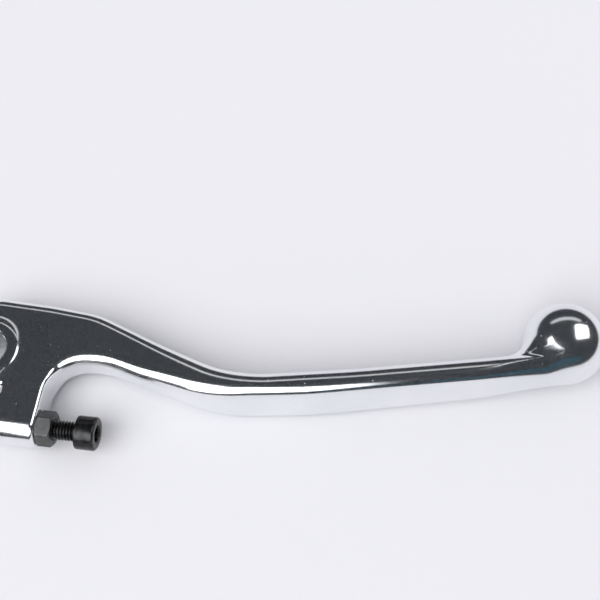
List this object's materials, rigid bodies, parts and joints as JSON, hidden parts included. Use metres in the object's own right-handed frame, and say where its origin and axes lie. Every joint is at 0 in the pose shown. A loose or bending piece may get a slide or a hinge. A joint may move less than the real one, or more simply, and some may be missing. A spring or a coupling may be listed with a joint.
{
  "type": "motorcycle front brake lever",
  "caption": "Polished cast lever with a pivot eye at one end and a ball at the other, and a locked adjuster screw in its heel.",
  "frame": {"origin": "centre of the pivot bore, at the lever's mid thickness", "axes": "+Z along the pivot axis, +X from the pivot towards the ball end, +Y away from the rider"},
  "size_m": [0.1698, 0.0415, 0.021],
  "materials": {
    "polished_aluminium": "mirror polished",
    "screw_black_oxide": "black oxide, satin",
    "nut_black_oxide": "black oxide, slightly dull"
  },
  "bodies": {
    "lever": {"lever_casting": "polished_aluminium"},
    "adjuster": {"adjuster_screw": "screw_black_oxide"},
    "nut": {"lock_nut": "nut_black_oxide"}
  },
  "joints": [
    {"name": "adjuster_travel", "type": "slide", "parent": "lever", "child": "adjuster", "axis": [0.9938, -0.1115, 0], "range_m": [-0.003, 0.0025]},
    {"name": "lock_nut_travel", "type": "slide", "parent": "lever", "child": "nut", "axis": [0.9938, -0.1115, 0], "range_m": [0, 0.0025]}
  ]
}
